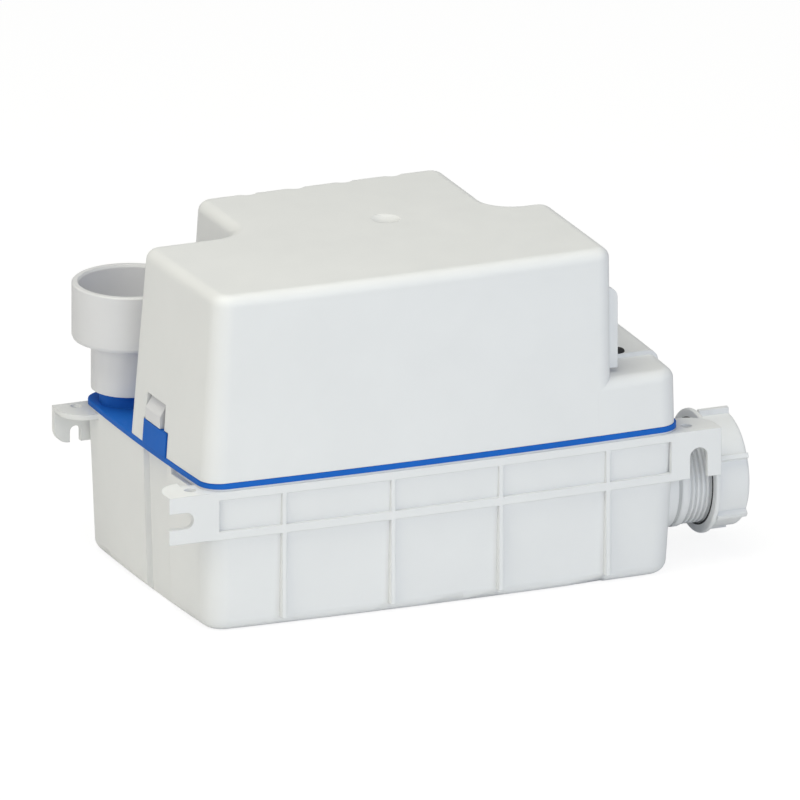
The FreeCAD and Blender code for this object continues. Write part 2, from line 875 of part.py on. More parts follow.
def latch(side):
    """Spring finger from the tank's rim up behind the bridge, with a hooked nose."""
    lean = slope(hood_left_lean if side < 0 else hood_lean)
    inset = hood_inset - bridge_stand_out + bridge_thickness + latch_gap
    foot_inner, foot_outer = latch_foot_x()
    foot = tank_height - latch_foot_depth + 0.05
    jog = plate_top + 0.6

    def outer_x(z):
        return reach_x - inset - lean * (z - hood_base)

    catch = bridge_top + latch_catch_gap
    nose = reach_x - hood_inset - lean * (catch - hood_base) + latch_stand_out
    profile = [
        (foot_outer, foot),
        (foot_outer, jog),
        (outer_x(jog + latch_jog), jog + latch_jog),
        (outer_x(catch), catch),
        (nose, catch),
        (nose, catch + latch_nose_flat),
        (outer_x(latch_top) - 0.4, latch_top),
        (outer_x(latch_top) - latch_thickness, latch_top),
        (outer_x(jog + latch_jog) - latch_thickness, jog + latch_jog + 1),
        (foot_inner, jog + 1),
        (foot_inner, foot),
    ]
    points = [(side * x, latch_centre(side) - latch_width / 2, z) for x, z in profile]
    return prism(points, V(0, latch_width, 0))


# Hood

def envelope(z0, z1, inset):
    """The hood's bowed outer walls as one block of full height."""
    leans = [-slope(hood_lean), -slope(hood_lean), -slope(hood_left_lean), -slope(hood_lean)]
    block = bowed_block(z0, z1, hood_base, hood_inset + inset, leans, hood_right_inset)
    return block.makeFillet(max(hood_corner - inset, 1.5), upright_edges(block, z0, z1))


def beside_neck(z0, z1, inset):
    """Open space behind the main block and left of the neck."""
    far = rim_length
    lean = slope(hood_left_lean)
    back_lean = slope(hood_back_lean)
    x_low = neck_left + inset + lean * (z0 - hood_base)
    x_high = neck_left + inset + lean * (z1 - hood_base)
    y_low = left_back - inset - back_lean * (z0 - hood_base)
    y_high = left_back - inset - back_lean * (z1 - hood_base)
    left = prism([(-far, -far, z0), (x_low, -far, z0), (x_high, -far, z1), (-far, -far, z1)],
                 V(0, 2 * far, 0))
    behind = prism([(-far, y_low, z0), (-far, far, z0), (-far, far, z1), (-far, y_high, z1)],
                   V(2 * far, 0, 0))
    space = left.common(behind)
    corner = [edge for edge in upright_edges(space, z0, z1)
              if edge.CenterOfMass.x > -far / 2 and edge.CenterOfMass.y < far / 2]
    return space.makeFillet(neck_left_fillet + inset, corner)


def beside_tower(z0, z1, inset):
    """Open space right of the main block and of the neck."""
    far = rim_length
    beside = box(tower_right - inset, far, -far, tower_back - inset + 1, z0, z1)
    behind = box(neck_right - inset, far, tower_back - inset, far, z0, z1)
    space = beside.fuse(behind).removeSplitter()
    for x, radius in ((tower_right, tower_corner - inset), (neck_right, neck_fillet + inset)):
        corner = [edge for edge in upright_edges(space, z0, z1)
                  if abs(edge.CenterOfMass.x - x + inset) < 0.1
                  and abs(edge.CenterOfMass.y - tower_back + inset) < 0.1]
        space = space.makeFillet(radius, corner)
    return space


def tower(z0, z1, inset):
    """Tall part of the hood: the main block and the neck behind it."""
    far = rim_length
    block = envelope(z0, z1, inset + tower_setback)
    block = block.cut(beside_neck(z0 - 1, z1 + 1, inset))
    block = block.cut(box(-far, far, neck_back - inset, far, z0 - 1, z1 + 1))
    block = block.cut(beside_tower(z0 - 1, z1 + 1, inset)).removeSplitter()
    outward = []
    for edge in upright_edges(block, z0, z1):
        place = edge.CenterOfMass
        behind_neck = abs(place.y - neck_back + inset) < 0.1
        rear_left = place.x < neck_left - 10 and 0 < place.y < neck_back / 2
        front_right = abs(place.x - tower_right + inset) < 0.1 and place.y < shoulder_step_y
        if behind_neck or rear_left or front_right:
            outward.append(edge)
    block = block.makeFillet(tower_corner - inset, outward)
    return block.makeFillet(hood_edge_round - inset, level_edges(block, z1))


def shoulder(z0, z1, front, left, inset):
    """Low part of the hood behind the line front and right of the line left."""
    block = envelope(z0, z1, inset)
    block = block.makeFillet(shoulder_round - inset, level_edges(block, z1))
    return block.common(box(left, rim_length, front, rim_width, z0 - 1, z1 + 1))


def hood_volume(inset):
    """Outside of the hood, or its inside when inset by the wall."""
    z0 = hood_base - (1.0 if inset else 0.0)
    tall = tower(z0, hood_top - inset, inset)
    front = shoulder(z0, shoulder_top - inset, -rim_width,
                     tower_right - tower_corner - 1, inset)
    rear = shoulder(z0, rear_shoulder_top - inset, shoulder_step_y + inset,
                    neck_right + 2 * inset - neck_fillet, inset)
    return front.fuse(rear).fuse(tall).removeSplitter()


def hose_grooves(growth):
    """Upright U-shaped grooves down the back of the neck."""
    cutters = []
    for place in range(groove_count):
        x = hose_groove_middle + (place - (groove_count - 1) / 2) * hose_groove_pitch
        radius = hose_groove_width / 2 + growth
        y = neck_back - hose_groove_depth + hose_groove_width / 2
        cutters.append(rod(radius, x, y, hood_base - 2, hood_top + 1))
        cutters.append(box(x - radius, x + radius, y, neck_back + 2, hood_base - 2, hood_top + 1))
    return cutters


def latch_windows():
    cutters = []
    for side in (-1, 1):
        low, high = sorted([side * (reach_x - 14), side * (reach_x + 5)])
        y = side * bridge_centre
        half = bridge_width / 2 + window_side_gap
        cutters.append(box(low, high, y - half, y + half, hood_base - 2, bridge_top + 0.5))
        y = side * (bridge_centre - window_shift)
        half = window_width / 2
        cutters.append(box(low, high, y - half, y + half, hood_base - 2, window_top))
    return cutters


def fin():
    x1 = tower_right + fin_reach
    blade = box(tower_right - 1, x1, fin_y - fin_thickness / 2, fin_y + fin_thickness / 2,
                shoulder_top + fin_clear, fin_top)
    corner = [edge for edge in blade.Edges
              if abs(edge.CenterOfMass.x - x1) < 0.01 and abs(edge.CenterOfMass.z - fin_top) < 0.01]
    return blade.makeFillet(fin_reach - 0.2, corner)


def dimple_sphere():
    ball = (dimple_radius ** 2 + dimple_depth ** 2) / (2 * dimple_depth)
    return Part.makeSphere(ball, V(dimple_x, dimple_y, hood_top - dimple_depth + ball))


def hood():
    outer = hood_volume(0)
    inner = hood_volume(hood_wall)
    for cutter in hose_grooves(hood_wall):
        inner = inner.cut(cutter)
    inner = inner.cut(rod(dimple_radius + 2, dimple_x, dimple_y,
                          hood_top - hood_wall - dimple_depth, hood_top))
    solid = outer.fuse(fin()).cut(inner)
    for cutter in hose_grooves(0) + latch_windows():
        solid = solid.cut(cutter)
    solid = solid.cut(dimple_sphere())
    solid = solid.cut(rod(gland_neck_radius + gland_fit, gland_x, gland_y,
                          shoulder_top - hood_wall - 1, rear_shoulder_top + 1))
    solid = solid.cut(rod(valve_radius + tail_hole_gap, valve_x, valve_y,
                          rear_shoulder_top - hood_wall - 1, rear_shoulder_top + 1))
    return solid.removeSplitter()


def cable_gland():
    """Closed rubber grommet: a low dome outside, a neck and an inner flange."""
    wall_in = shoulder_top - hood_wall
    neck = rod(gland_neck_radius, gland_x, gland_y, wall_in - 1.5, rear_shoulder_top + 0.2)
    inner = rod(gland_radius - 0.2, gland_x, gland_y, wall_in - 2.5, wall_in)
    dome = rod(gland_radius, gland_x, gland_y, rear_shoulder_top, rear_shoulder_top + gland_dome)
    dome = dome.makeFillet(gland_dome * 0.8, level_edges(dome, rear_shoulder_top + gland_dome))
    return join([neck, inner, dome])


# Inlet sleeve

def inlet_sleeve():
    """Stepped sleeve: a wide socket for the waste pipe on a neck that slips on the inlet."""
    bore = inlet_spigot_radius + sleeve_fit
    socket_in = socket_radius - socket_wall
    profile = [
        (bore, sleeve_bottom), (sleeve_neck_radius, sleeve_bottom),
        (sleeve_neck_radius, socket_floor - 0.8), (sleeve_neck_radius + 0.8, socket_floor),
        (socket_radius - 2.0, socket_floor), (socket_radius - 0.6, socket_floor + 0.6),
        (socket_radius, socket_floor + 2.0), (socket_radius, sleeve_top - 0.6),
        (socket_radius - 0.6, sleeve_top), (socket_in + 0.6, sleeve_top),
        (socket_in, sleeve_top - 1.2), (socket_in, socket_floor + sleeve_step),
        (inlet_spigot_bore + 0.4, socket_floor + sleeve_step),
        (inlet_spigot_bore + 0.4, inlet_spigot_top + 0.5), (bore, inlet_spigot_top + 0.5),
    ]
    sleeve = spin(profile, inlet_x, inlet_y)
    groove = tube(bore + ring_section, bore - 1, inlet_x, inlet_y, ring_z, ring_z + 2 * ring_section)
    return sleeve.cut(groove)


def sleeve_ring():
    """Seal ring in the sleeve's groove."""
    bore = inlet_spigot_radius + sleeve_fit
    return tube(bore + ring_section - 0.02, bore - 0.2, inlet_x, inlet_y, ring_z + 0.02,
                ring_z + 2 * ring_section - 0.02)


# Pump

def volute():
    """Pump casing, open below, with a sideways outlet that leaves along the rim."""
    top = column_bottom
    casing = rod(volute_radius, motor_x, motor_y, volute_bottom, top - volute_wall)
    casing = casing.fuse(rod(column_flange, motor_x, motor_y, top - volute_wall - 1, top))
    outlet_y = motor_y + outlet_offset
    end_x = motor_x + outlet_end + outlet_socket
    casing = casing.fuse(rod_x(outlet_radius + outlet_wall, motor_x, end_x, outlet_y, outlet_z))
    chamber = rod(volute_radius - volute_wall, motor_x, motor_y, volute_bottom - 1,
                  impeller_bottom + impeller_height + 2.0)
    casing = casing.cut(chamber)
    casing = casing.cut(rod(shaft_radius + 1.0, motor_x, motor_y, volute_bottom, top + 1))
    casing = casing.cut(rod_x(outlet_bore, motor_x, end_x + 1, outlet_y, outlet_z))
    casing = casing.cut(rod_x(outlet_radius + 0.05, end_x - outlet_socket_depth, end_x + 1,
                              outlet_y, outlet_z))
    return casing.removeSplitter()


def suction_cover():
    """Bottom of the pump: a plate with the eye and a ring of strainer ribs."""
    z1 = volute_bottom
    z0 = z1 - cover_thickness
    disc = rod(volute_radius, motor_x, motor_y, z0, z1)
    ring = volute_radius - volute_wall - 0.2
    disc = disc.fuse(tube(ring, ring - 2.0, motor_x, motor_y, z1 - 0.5, z1 + cover_ring_height))
    disc = disc.cut(rod(eye_radius, motor_x, motor_y, z0 - 1, z1 + 3))
    foot = z0 - strainer_height
    for place in range(strainer_ribs):
        rib = box(motor_x + eye_radius + 2, motor_x + volute_radius - 1, motor_y - 1.0,
                  motor_y + 1.0, foot, z0 + 0.2)
        rib.rotate(V(motor_x, motor_y, 0), UP, place * 360.0 / strainer_ribs)
        disc = disc.fuse(rib)
    return disc.removeSplitter()


def rounded_path(points, radius):
    """Straight runs joined by arcs that meet them smoothly."""
    edges = []
    start = V(*points[0])
    for before, corner, after in zip(points, points[1:], points[2:]):
        corner = V(*corner)
        towards = (V(*before) - corner).normalize()
        onwards = (V(*after) - corner).normalize()
        half = towards.getAngle(onwards) / 2
        reach = radius / math.tan(half)
        first = corner + towards * reach
        last = corner + onwards * reach
        middle_way = (towards + onwards).normalize()
        middle = corner + middle_way * (radius / math.sin(half) - radius)
        edges.append(Part.LineSegment(start, first).toShape())
        edges.append(Part.Arc(first, middle, last).toShape())
        start = last
    edges.append(Part.LineSegment(start, V(*points[-1])).toShape())
    return Part.Wire(edges)


def pipe_points():
    x0 = motor_x + outlet_end + outlet_socket - outlet_socket_depth + 0.2
    y0 = motor_y + outlet_offset
    return [(x0, y0, outlet_z), (x0 + pipe_run, y0, outlet_z), (valve_x, valve_y, outlet_z),
            (valve_x, valve_y, tank_height - 1.2)]


def discharge_pipe():
    """Pipe from the pump's outlet to the port under the non-return valve."""
    path = rounded_path(pipe_points(), pipe_bend)
    start = V(*pipe_points()[0])
    rings = []
    for radius in (outlet_radius, outlet_bore):
        circle = Part.Wire(Part.Circle(start, RIGHT, radius).toShape())
        rings.append(path.makePipeShell([circle], True, False))
    return rings[0].cut(rings[1])


def impeller_blade(turn):
    """One backward-curved blade between two arcs."""
    inner, outer = blade_root, impeller_radius
    sweep = math.radians(blade_sweep)
    mid = (inner + outer) / 2
    spots = [(inner, 0.0), (mid, sweep * 0.36), (outer - 0.2, sweep)]
    near = [V(radius * math.cos(angle), radius * math.sin(angle), 0) for radius, angle in spots]
    step = blade_thickness
    far = [V(point.x * math.cos(step / radius) - point.y * math.sin(step / radius),
             point.x * math.sin(step / radius) + point.y * math.cos(step / radius), 0)
           for point, (radius, angle) in zip(near, spots)]
    wire = Part.Wire([Part.Arc(*near).toShape(),
                      Part.LineSegment(near[2], far[2]).toShape(),
                      Part.Arc(far[2], far[1], far[0]).toShape(),
                      Part.LineSegment(far[0], near[0]).toShape()])
    blade = Part.Face(wire).extrude(V(0, 0, impeller_height - 1.0))
    blade.rotate(V(0, 0, 0), UP, turn)
    blade.translate(V(motor_x, motor_y, impeller_bottom))
    return blade


def impeller():
    top = impeller_bottom + impeller_height
    solid = rod(impeller_radius, motor_x, motor_y, top - impeller_shroud, top)
    solid = solid.fuse(rod(impeller_hub, motor_x, motor_y, impeller_bottom, top - 1))
    for place in range(impeller_blades):
        solid = solid.fuse(impeller_blade(place * 360.0 / impeller_blades))
    return solid.cut(rod(shaft_radius, motor_x, motor_y, impeller_bottom - 1, top + 1))


def shaft_seal():
    return tube(bearing_radius + 0.95, shaft_radius + 0.3, motor_x, motor_y, tank_height - 2,
                plate_top + 1.0)


# Motor

def stack_plan(z0, z1):
    x1 = motor_x + stack_tail
    return box(motor_x - stack_half, x1, motor_y - stack_half, motor_y + stack_half, z0, z1)


def screw_holes(radius, z0, z1):
    return [rod(radius, motor_x, motor_y + side * screw_spread, z0, z1) for side in (-1, 1)]


def stator_core():
    """Stack of laminations: rotor bore at one end, coil leg at the other."""
    z1 = stack_bottom + stack_height
    core = stack_plan(stack_bottom, z1)
    window_x = motor_x + stack_tail - coil_leg - coil_window + 3
    window = box(window_x, motor_x + stack_tail - coil_leg, motor_y - stack_half + stack_leg,
                 motor_y + stack_half - stack_leg, stack_bottom - 1, z1 + 1)
    core = core.cut(window)
    notch_x = motor_x + stack_tail
    for side in (-1, 1):
        y = motor_y + side * stack_half
        low, high = sorted([y, y - side * stack_leg])
        core = core.cut(box(notch_x - 4, notch_x + 1, low, high, stack_bottom - 1, z1 + 1))
    core = core.cut(rod(rotor_radius + air_gap, motor_x, motor_y, stack_bottom - 1, z1 + 1))
    for hole in screw_holes(screw_radius + screw_fit, stack_bottom - 1, z1 + 1):
        core = core.cut(hole)
    return core


def coil_box(growth, y_half, y_shift=0.0):
    leg_x0 = motor_x + stack_tail - coil_leg
    leg_x1 = motor_x + stack_tail
    z1 = stack_bottom + stack_height
    return box(leg_x0 - growth, leg_x1 + growth, motor_y - y_half + y_shift,
               motor_y + y_half + y_shift, stack_bottom - growth, z1 + growth)


def coil_half():
    return stack_half - stack_leg - 0.3


def coil_bobbin():
    half = coil_half()
    solid = coil_box(bobbin_wall, half)
    for side in (-1, 1):
        shift = side * (half - coil_flange / 2)
        solid = solid.fuse(coil_box(coil_build + 0.6, coil_flange / 2, shift))
    return solid.cut(coil_box(0.1, half + 1)).removeSplitter()


def coil_winding():
    half = coil_half() - coil_flange - 0.05
    solid = coil_box(coil_build, half)
    length = 2 * half
    rounded = [edge for edge in solid.Edges if abs(edge.Length - length) < 0.01]
    solid = solid.makeFillet(4.0, rounded)
    return solid.cut(coil_box(bobbin_wall + 0.05, half + 1))


def bearing_cup(z0, z1):
    return rod(cup_radius, motor_x, motor_y, z0, z1)


def end_bracket(bar_z, cup_low, cup_high, pad_low, pad_high, seat_low):
    """Cast bar across the rotor with a bearing cup and a pad at each screw."""
    half = screw_spread + bracket_width / 2
    bar = box(motor_x - bracket_width / 2, motor_x + bracket_width / 2, motor_y - half,
              motor_y + half, bar_z, bar_z + bracket_thickness)
    bar = bar.makeFillet(6.0, upright_edges(bar, bar_z, bar_z + bracket_thickness))
    parts = [bar, bearing_cup(cup_low, cup_high)]
    for side in (-1, 1):
        parts.append(rod(post_radius, motor_x, motor_y + side * screw_spread, pad_low, pad_high))
    solid = join(parts)
    solid = solid.cut(rod(bearing_radius, motor_x, motor_y, seat_low, seat_low + bearing_width))
    solid = solid.cut(rod(shaft_radius + 1.0, motor_x, motor_y, cup_low - 1, cup_high + 1))
    for hole in screw_holes(screw_radius + screw_fit, pad_low - 1, pad_high + 1):
        solid = solid.cut(hole)
    return solid


def lower_bracket():
    pad = stack_bottom - bracket_pad
    seat = pad - seat_drop
    return end_bracket(pad, seat - 2.0, seat + bearing_width + 2.0, pad, stack_bottom, seat)


def upper_bracket():
    seat = stack_top + upper_seat_rise
    bar = stack_top + upper_bar_rise
    return end_bracket(bar, bar, seat + bearing_width + 1.5, stack_top, stack_top + upper_pad,
                       seat)


def bearing(seat):
    outer = rod(bearing_radius - 0.02, motor_x, motor_y, seat, seat + bearing_width)
    return outer.cut(rod(shaft_radius + shaft_fit, motor_x, motor_y, seat - 1,
                         seat + bearing_width + 1))


def bearing_seats():
    """Heights of the lower and the upper bearing."""
    return stack_bottom - bracket_pad - seat_drop, stack_top + upper_seat_rise


def motor_screws():
    head_z = stack_top + upper_pad
    screws = []
    for side in (-1, 1):
        y = motor_y + side * screw_spread
        shank = rod(screw_radius - 0.05, motor_x, y, stack_bottom - screw_reach, head_z + 0.5)
        head = rod(screw_head_radius, motor_x, y, head_z, head_z + screw_head_height)
        socket = rod(screw_key_radius, motor_x, y, head_z + 1.2, head_z + 4)
        screws.append(shank.fuse(head).cut(socket).removeSplitter())
    return Part.makeCompound(screws)


def rotor_shaft():
    shaft = rod(shaft_radius, motor_x, motor_y, shaft_bottom, shaft_top)
    return shaft.makeChamfer(0.5, level_edges(shaft, shaft_top))


def rotor_core():
    """Squirrel-cage rotor: steel body between two narrower end rings."""
    z0 = stack_bottom
    z1 = stack_bottom + stack_height
    body = rod(rotor_radius, motor_x, motor_y, z0, z1)
    rings = rod(rotor_radius - end_ring_step, motor_x, motor_y, z0 - end_ring_height,
                z1 + end_ring_height)
    return body.fuse(rings).cut(rod(shaft_radius, motor_x, motor_y, z0 - 3, z1 + 3))


def fan_blade(turn):
    """One pitched, slightly swept fan blade."""
    half = fan_blade_thickness / 2
    blade = box(fan_hub - 2.5, fan_radius, -half, half, -fan_height * 0.55, fan_height * 0.55)
    blade.rotate(V(0, 0, 0), RIGHT, fan_pitch)
    keep = Part.makeCylinder(fan_radius, fan_height, V(0, 0, -fan_height / 2))
    blade = blade.common(keep)
    blade.rotate(V(0, 0, 0), UP, turn)
    blade.translate(V(motor_x, motor_y, fan_bottom + fan_height / 2))
    return blade


def cooling_fan():
    z1 = fan_bottom + fan_height
    solid = rod(fan_hub, motor_x, motor_y, fan_bottom, z1)
    for place in range(fan_blades):
        solid = solid.fuse(fan_blade(place * 360.0 / fan_blades))
    return solid.cut(rod(shaft_radius, motor_x, motor_y, fan_bottom - 1, z1 + 1))


# Floats and switches

def float_body(y, bottom):
    """Float with its stem and the collar it hangs by."""
    top = bottom + float_height
    body = rod(float_radius, float_x, y, bottom, top)
    body = body.makeFillet(3.0, level_edges(body, bottom) + level_edges(body, top))
    stem = rod(stem_radius, float_x, y, top - 2, stem_top)
    collar = rod(stem_collar, float_x, y, plate_top + 0.3, plate_top + 2.3)
    return join([body, stem, collar])


def lever_pivot_x():
    return float_x - lever_arm


def switch_lever():
    """Bell crank: a long arm over the float stem and a short upright horn."""
    x = lever_pivot_x()
    half = lever_width / 2
    under = stem_top + touch_gap
    arm = box(x, float_x + 4, float_y - half, float_y + half, under, under + lever_thickness)
    hub = rod_y(lever_thickness + 0.6, x, float_y - half, float_y + half, pivot_z)
    horn = box(x - lever_thickness / 2, x + lever_thickness / 2, float_y - half, float_y + half,
               pivot_z, pivot_z + lever_horn)
    bore = rod_y(pin_radius + pin_fit, x, float_y - half - 1, float_y + half + 1, pivot_z)
    return join([arm, hub, horn]).cut(bore)


def lever_pin():
    reach = lever_width / 2 + cheek_gap + cheek_thickness + 0.6
    return rod_y(pin_radius, lever_pivot_x(), float_y - reach, float_y + reach, pivot_z)


def plunger_tip_x():
    """Where the horn's face gets to at the end of its swing."""
    turn = math.radians(lever_turn)
    height = lever_horn - plunger_drop + plunger_radius
    return lever_pivot_x() - lever_thickness / 2 / math.cos(turn) - height * math.tan(turn)


def switch_bracket():
    """Two cheeks for the lever's pin and a post for the microswitch."""
    x = lever_pivot_x()
    half = lever_width / 2 + cheek_gap
    outside = half + cheek_thickness
    body_x1 = plunger_tip_x() - touch_gap - plunger_length
    body_x0 = body_x1 - switch_body_x
    base = box(body_x0, x + 6, float_y - outside, float_y + outside, plate_top, plate_top + 2)
    parts = [base]
    for side in (-1, 1):
        low, high = sorted([float_y + side * half, float_y + side * outside])
        cheek = box(x - 5, x + 5, low, high, plate_top + 1, pivot_z + 4.5)
        corners = [edge for edge in cheek.Edges if abs(edge.CenterOfMass.z - pivot_z - 4.5) < 0.01
                   and abs(edge.CenterOfMass.x - x) > 4]
        parts.append(cheek.makeFillet(3.5, corners))
    shelf = pivot_z + lever_horn - plunger_drop - switch_body_z / 2
    parts.append(box(body_x0, body_x1, float_y - outside, float_y + outside, plate_top + 1, shelf))
    solid = join(parts)
    return solid.cut(rod_y(pin_radius + 0.02, x, float_y - outside - 1, float_y + outside + 1,
                           pivot_z))


def microswitch():
    body_x1 = plunger_tip_x() - touch_gap - plunger_length
    z0 = pivot_z + lever_horn - plunger_drop - switch_body_z / 2
    body = box(body_x1 - switch_body_x, body_x1, float_y - switch_body_y / 2,
               float_y + switch_body_y / 2, z0, z0 + switch_body_z)
    plunger = rod_x(plunger_radius, body_x1 - 1, body_x1 + plunger_length, float_y,
                    z0 + switch_body_z / 2)
    parts = [body, plunger]
    for place in (-1, 0, 1):
        y = float_y + place * terminal_pitch
        parts.append(box(body_x1 - switch_body_x - 2.6, body_x1 - switch_body_x + 0.5, y - 1.6,
                         y + 1.6, z0 + 2.9, z0 + 3.4))
    return join(parts)


def alarm_switch_bottom():
    return stem_top + alarm_travel + touch_gap + plunger_length


def alarm_switch():
    """High-level microswitch, plunger down, over the alarm float's stem."""
    z0 = alarm_switch_bottom()
    body = box(float_x - switch_body_z / 2, float_x + switch_body_z / 2,
               alarm_y - switch_body_y / 2, alarm_y + switch_body_y / 2, z0, z0 + switch_body_x)
    plunger = rod(plunger_radius, float_x, alarm_y, z0 - plunger_length, z0 + 1)
    return join([body, plunger])


def alarm_bracket():
    z0 = alarm_switch_bottom()
    x1 = float_x - switch_body_z / 2
    y0, y1 = alarm_y - bracket_half, alarm_y + bracket_half
    post = box(x1 - bracket_post, x1, y0, y1, plate_top, z0 + switch_body_x - 1)
    foot = box(x1 - bracket_foot, x1, y0, y1, plate_top, plate_top + bracket_post)
    gusset = prism([(x1 - bracket_foot + 1, alarm_y - 1, plate_top + 2),
                    (x1 - 2, alarm_y - 1, plate_top + 2),
                    (x1 - 2, alarm_y - 1, plate_top + gusset_height)], V(0, 2, 0))
    return join([post, foot, gusset])


def terminal_block():
    """Three-way terminal block on the plate under the cable gland."""
    x, y = gland_x - block_from_gland_x, gland_y - block_from_gland_y
    half = block_depth / 2
    reach = 1.5 * block_pitch + 0.5
    top = plate_top + block_height
    body = box(x - half, x + half, y - reach, y + reach, plate_top, top)
    for place in (-1, 0, 1):
        middle = y + place * block_pitch
        body = body.cut(rod(block_screw_radius, x, middle, plate_top + block_height / 2, top + 1))
        body = body.cut(rod_x(block_wire_radius, x - half - 1, x + half + 1, middle,
                              plate_top + block_wire_rise))
    return body


# Non-return valve

def valve_body():
    """Turned body on the plate's port: seat below, ball chamber above."""
    z0 = plate_top + port_rise
    profile = [
        (outlet_bore, z0), (valve_radius - 1.5, z0), (valve_radius - 1.5, z0 + 4),
        (valve_radius, z0 + 5), (valve_radius, valve_body_top - 1),
        (valve_radius - 1, valve_body_top), (valve_bore, valve_body_top),
        (valve_bore, valve_seat_z + 4), (outlet_bore, valve_seat_z),
    ]
    return spin(profile, valve_x, valve_y)


def ball_rest_z():
    """Height of the ball's centre on the conical seat, with a hair of clearance."""
    rise, run = 4.0, valve_bore - outlet_bore
    tilt = math.atan2(rise, run)
    contact = (ball_radius + touch_gap * 0.75) / math.cos(tilt)
    return valve_seat_z + contact - outlet_bore * math.tan(tilt)


def valve_ball():
    return Part.makeSphere(ball_radius, V(valve_x, valve_y, ball_rest_z()))


def hose_barb():
    """Hose tail screwed into the valve: flange, hexagon and barbs."""
    z0 = valve_body_top
    hexagon = []
    for corner in range(6):
        angle = math.radians(60 * corner)
        hexagon.append((valve_x + hexagon_radius * math.cos(angle),
                        valve_y + hexagon_radius * math.sin(angle), z0 + 1.4))
    nut = prism(hexagon, V(0, 0, hexagon_height))
    flange = rod(valve_radius - 1.5, valve_x, valve_y, z0, z0 + 1.6)
    stop = ball_rest_z() + ball_radius + ball_travel + touch_gap
    plug = rod(valve_bore - 0.02, valve_x, valve_y, stop, z0 + 0.5)
    profile = [(barb_bore, z0 + 2), (barb_radius - 0.6, z0 + 2)]
    start = z0 + 9.0
    pitch = (barb_top - start) / barb_count
    for place in range(barb_count):
        z = start + place * pitch
        profile += [(barb_radius - 0.6, z), (barb_radius + 0.5, z + 0.4),
                    (barb_radius - 0.6, z + pitch - 0.2)]
    profile += [(barb_radius - 0.8, barb_top), (barb_bore, barb_top)]
    tail = spin(profile, valve_x, valve_y)
    solid = join([nut, flange, plug, tail])
    return solid.cut(rod(barb_bore, valve_x, valve_y, stop - 1, barb_top + 1))


def build_all():
    lower_seat, upper_seat = bearing_seats()
    return {
        "tank": tank(),
        "side_spigot": side_spigot(),
        "spigot_seal": spigot_seal(),
        "compression_nut": compression_nut(),
        "slip_washer": slip_washer(),
        "cone_seal": cone_seal(),
        "rim_gasket": gasket(),
        "cover_plate": cover_plate(),
        "left_latch": latch(-1),
        "right_latch": latch(1),
        "hood": hood(),
        "cable_gland": cable_gland(),
        "inlet_sleeve": inlet_sleeve(),
        "sleeve_ring": sleeve_ring(),
        "pump_volute": volute(),
        "suction_cover": suction_cover(),
        "discharge_pipe": discharge_pipe(),
        "impeller": impeller(),
        "shaft_seal": shaft_seal(),
        "stator_core": stator_core(),
        "coil_bobbin": coil_bobbin(),
        "coil_winding": coil_winding(),
        "lower_bracket": lower_bracket(),
        "upper_bracket": upper_bracket(),
        "lower_bearing": bearing(lower_seat),
        "upper_bearing": bearing(upper_seat),
        "motor_screws": motor_screws(),
        "rotor_shaft": rotor_shaft(),
        "rotor_core": rotor_core(),
        "cooling_fan": cooling_fan(),
        "main_float": float_body(float_y, float_bottom),
        "alarm_float": float_body(alarm_y, alarm_bottom),
        "switch_lever": switch_lever(),
        "lever_pin": lever_pin(),
        "switch_bracket": switch_bracket(),
        "microswitch": microswitch(),
        "alarm_switch": alarm_switch(),
        "alarm_bracket": alarm_bracket(),
        "terminal_block": terminal_block(),
        "valve_body": valve_body(),
        "valve_ball": valve_ball(),
        "hose_barb": hose_barb(),
    }


os.makedirs("parts", exist_ok=True)
for name, shape in build_all().items():
    shape.exportStep("parts/" + name + ".step")
    solids = len(shape.Solids)
    print(name, "solids", solids, "valid", shape.isValid(), "volume", round(shape.Volume, 1))
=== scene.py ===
"""Looks of the condensate pump: moulded plastics, the thread, the wiring, light and camera."""

import json
import math

import bmesh
import bpy
from mathutils import Matrix, Vector


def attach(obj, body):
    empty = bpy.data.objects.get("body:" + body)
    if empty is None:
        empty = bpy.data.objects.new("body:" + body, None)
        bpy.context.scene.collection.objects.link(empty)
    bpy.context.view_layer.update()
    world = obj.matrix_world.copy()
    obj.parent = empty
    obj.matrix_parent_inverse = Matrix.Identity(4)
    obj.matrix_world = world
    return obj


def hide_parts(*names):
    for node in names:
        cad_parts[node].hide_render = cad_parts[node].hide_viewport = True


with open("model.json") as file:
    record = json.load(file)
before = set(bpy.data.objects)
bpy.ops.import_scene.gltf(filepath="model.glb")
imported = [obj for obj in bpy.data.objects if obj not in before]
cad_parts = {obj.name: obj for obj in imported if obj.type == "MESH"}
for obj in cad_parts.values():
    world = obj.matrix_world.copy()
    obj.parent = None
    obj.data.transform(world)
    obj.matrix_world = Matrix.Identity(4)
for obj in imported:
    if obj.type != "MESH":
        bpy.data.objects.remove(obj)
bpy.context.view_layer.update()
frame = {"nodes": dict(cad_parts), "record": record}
nodes = frame["nodes"]
MM = 0.001


# Materials


def new_material(name):
    material = bpy.data.materials.new(name)
    material.use_nodes = True
    tree = material.node_tree
    shader = tree.nodes["Principled BSDF"]
    return material, tree, shader


def add(tree, kind, **inputs):
    """One node with its inputs set by name."""
    node = tree.nodes.new(kind)
    for key, value in inputs.items():
        node.inputs[key.replace("_", " ")].default_value = value
    return node


def place(tree, stretch=(1, 1, 1)):
    """Object coordinates in metres, scaled along the axes."""
    source = tree.nodes.new("ShaderNodeTexCoord")
    mapping = tree.nodes.new("ShaderNodeMapping")
    mapping.inputs["Scale"].default_value = stretch
    tree.links.new(source.outputs["Object"], mapping.inputs["Vector"])
    return mapping.outputs["Vector"]


